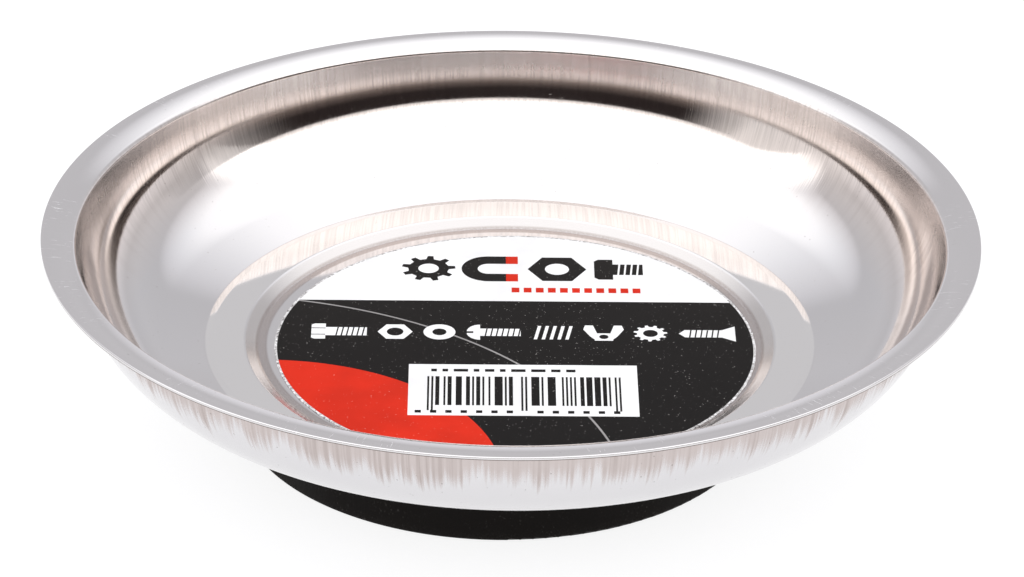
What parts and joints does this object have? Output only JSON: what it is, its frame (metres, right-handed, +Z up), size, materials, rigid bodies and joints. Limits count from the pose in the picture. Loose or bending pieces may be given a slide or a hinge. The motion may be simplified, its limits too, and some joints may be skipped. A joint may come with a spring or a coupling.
{
  "type": "magnetic parts tray",
  "caption": "Round stainless steel parts dish with a flared rim, on a rubber-covered ring magnet base that holds small steel parts and grips a steel bench.",
  "frame": {"origin": "centre of the dish's axis at the level of the base's underside, which is the surface the tray stands on", "axes": "+Z up along the dish's axis; +Y towards the top of the label; +X to the right as the label is read"},
  "size_m": [0.15, 0.15, 0.0336],
  "materials": {
    "stainless_steel": "satin",
    "label_print": "gloss",
    "black_rubber": "matte",
    "plated_steel": "satin",
    "ferrite": "matte",
    "fastener_steel": "satin"
  },
  "bodies": {
    "root": {"dish": "stainless_steel", "label": "label_print", "rubber_boot": "black_rubber", "backing_plate": "plated_steel", "ring_magnet": "ferrite", "clamp_screw": "fastener_steel", "plain_washer": "fastener_steel", "spring_washer": "fastener_steel", "clamp_nut": "fastener_steel"}
  },
  "joints": []
}
